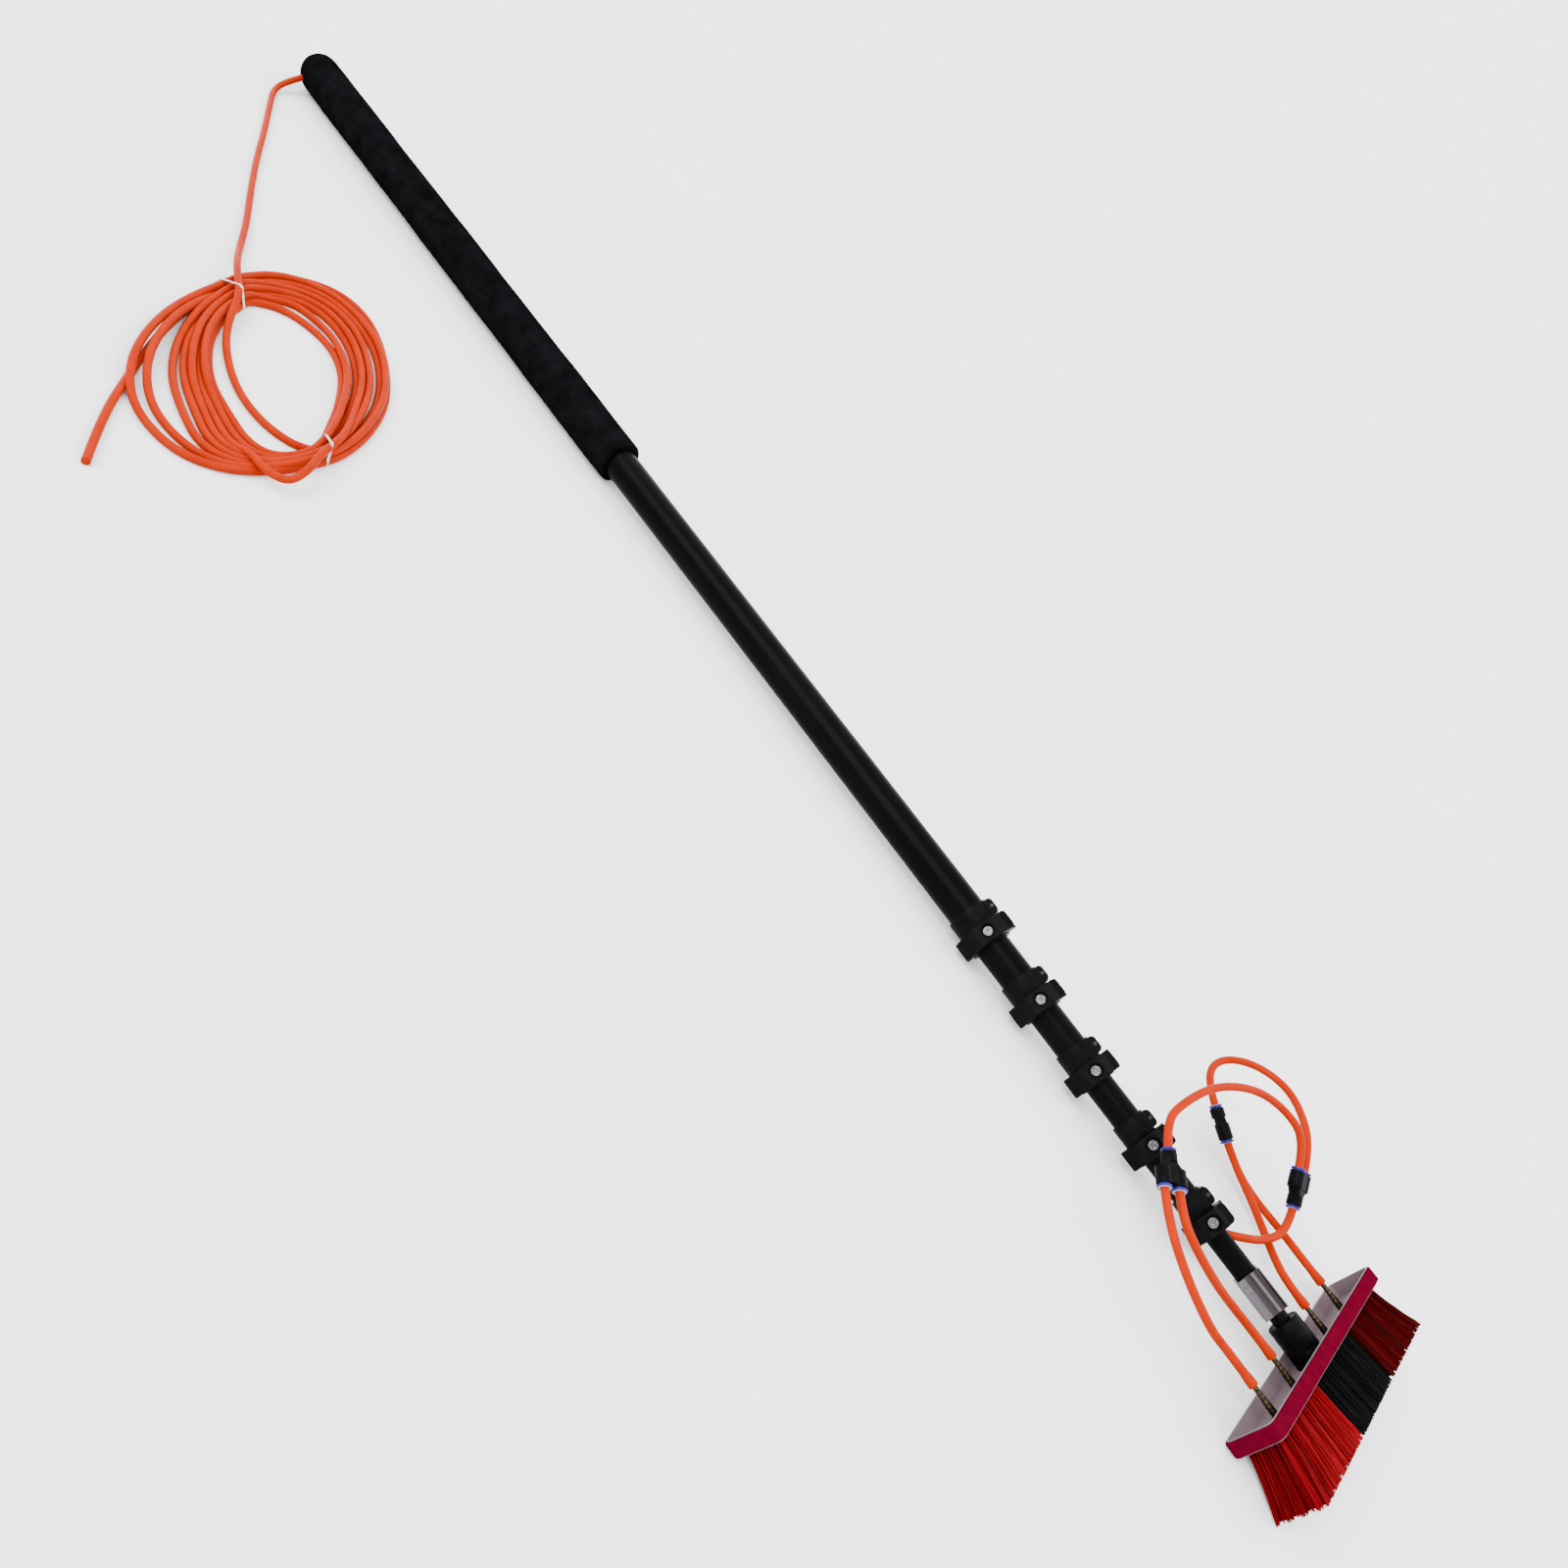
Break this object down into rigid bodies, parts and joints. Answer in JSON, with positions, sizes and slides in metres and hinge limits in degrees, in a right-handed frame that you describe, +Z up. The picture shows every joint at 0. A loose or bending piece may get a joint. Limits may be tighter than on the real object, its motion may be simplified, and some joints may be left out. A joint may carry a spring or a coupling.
{
  "type": "telescopic water-fed cleaning brush",
  "caption": "Water-fed cleaning brush on a collapsed telescopic pole with lever clamps, foam grip, push-in hose connectors and a tied coil of supply hose.",
  "frame": {"origin": "on the floor, half way along the pole and brush, under the pole's centre line", "axes": "+X along the pole from the grip to the bristles, +Z up, +Y across to the brush's far end"},
  "size_m": [2.0689, 0.8074, 0.107],
  "materials": {
    "anodised_tube": "black anodised, satin",
    "guide_plastic": "plain",
    "clamp_plastic": "fine textured",
    "dark_steel": "blackened",
    "bright_steel": "bright",
    "foam": "fine cell foam",
    "bracket_metal": "satin",
    "plate_plastic": "grey-mauve",
    "bumper_rubber": "crimson, satin",
    "barb_brass": "dark bronze",
    "bristle_red": "fibre",
    "bristle_black": "fibre",
    "release_ring": "violet-blue",
    "hose_orange": "smooth",
    "tie_white": "plain"
  },
  "bodies": {
    "handle": {"tube_1": "anodised_tube", "foam_grip": "foam", "butt_plug": "clamp_plastic", "collar_1": "clamp_plastic", "brake_shoe_1": "guide_plastic", "hinge_pin_1": "dark_steel", "supply_hose": "hose_orange", "hose_coil": "hose_orange", "hose_tail": "hose_orange", "coil_ties": "tie_white"},
    "section_2": {"tube_2": "anodised_tube", "guide_sleeve_2": "guide_plastic", "collar_2": "clamp_plastic", "brake_shoe_2": "guide_plastic", "hinge_pin_2": "dark_steel"},
    "section_3": {"tube_3": "anodised_tube", "guide_sleeve_3": "guide_plastic", "collar_3": "clamp_plastic", "brake_shoe_3": "guide_plastic", "hinge_pin_3": "dark_steel"},
    "section_4": {"tube_4": "anodised_tube", "guide_sleeve_4": "guide_plastic", "collar_4": "clamp_plastic", "brake_shoe_4": "guide_plastic", "hinge_pin_4": "dark_steel"},
    "section_5": {"tube_5": "anodised_tube", "guide_sleeve_5": "guide_plastic", "collar_5": "clamp_plastic", "brake_shoe_5": "guide_plastic", "hinge_pin_5": "dark_steel"},
    "section_6": {"tube_6": "anodised_tube", "guide_sleeve_6": "guide_plastic", "bracket": "bracket_metal", "bracket_screw": "bright_steel", "tip_core": "clamp_plastic", "socket": "clamp_plastic", "socket_screws": "bright_steel", "brush_block": "plate_plastic", "bumper": "bumper_rubber", "hose_barbs": "barb_brass", "bristles_near": "bristle_red", "bristles_middle": "bristle_black", "bristles_far": "bristle_red", "y_connectors": "clamp_plastic", "release_rings": "release_ring", "feed_hose": "hose_orange", "inner_hose": "hose_orange", "mid_hoses": "hose_orange", "branch_hoses": "hose_orange"},
    "lever_1": {"lever_1": "clamp_plastic", "tension_screw_1": "bright_steel"},
    "lever_2": {"lever_2": "clamp_plastic", "tension_screw_2": "bright_steel"},
    "lever_3": {"lever_3": "clamp_plastic", "tension_screw_3": "bright_steel"},
    "lever_4": {"lever_4": "clamp_plastic", "tension_screw_4": "bright_steel"},
    "lever_5": {"lever_5": "clamp_plastic", "tension_screw_5": "bright_steel"}
  },
  "joints": [
    {"name": "slide_2", "type": "slide", "parent": "handle", "child": "section_2", "axis": [1, 0, 0], "range_m": [0, 1.264]},
    {"name": "slide_3", "type": "slide", "parent": "section_2", "child": "section_3", "axis": [1, 0, 0], "range_m": [0, 1.339]},
    {"name": "slide_4", "type": "slide", "parent": "section_3", "child": "section_4", "axis": [1, 0, 0], "range_m": [0, 1.414]},
    {"name": "slide_5", "type": "slide", "parent": "section_4", "child": "section_5", "axis": [1, 0, 0], "range_m": [0, 1.489]},
    {"name": "slide_6", "type": "slide", "parent": "section_5", "child": "section_6", "axis": [1, 0, 0], "range_m": [0, 1.564]},
    {"name": "lever_hinge_1", "type": "hinge", "parent": "handle", "child": "lever_1", "pos_m": [0.5095, 0.01372, 0.05098], "axis": [-1, 0, 0], "range_deg": [0, 90]},
    {"name": "lever_hinge_2", "type": "hinge", "parent": "section_2", "child": "lever_2", "pos_m": [0.5925, 0.0126, 0.04951], "axis": [-1, 0, 0], "range_deg": [0, 90]},
    {"name": "lever_hinge_3", "type": "hinge", "parent": "section_3", "child": "lever_3", "pos_m": [0.6755, 0.01148, 0.04804], "axis": [-1, 0, 0], "range_deg": [0, 90]},
    {"name": "lever_hinge_4", "type": "hinge", "parent": "section_4", "child": "lever_4", "pos_m": [0.7585, 0.01036, 0.04657], "axis": [-1, 0, 0], "range_deg": [0, 90]},
    {"name": "lever_hinge_5", "type": "hinge", "parent": "section_5", "child": "lever_5", "pos_m": [0.8415, 0.00924, 0.0451], "axis": [-1, 0, 0], "range_deg": [0, 90]}
  ]
}
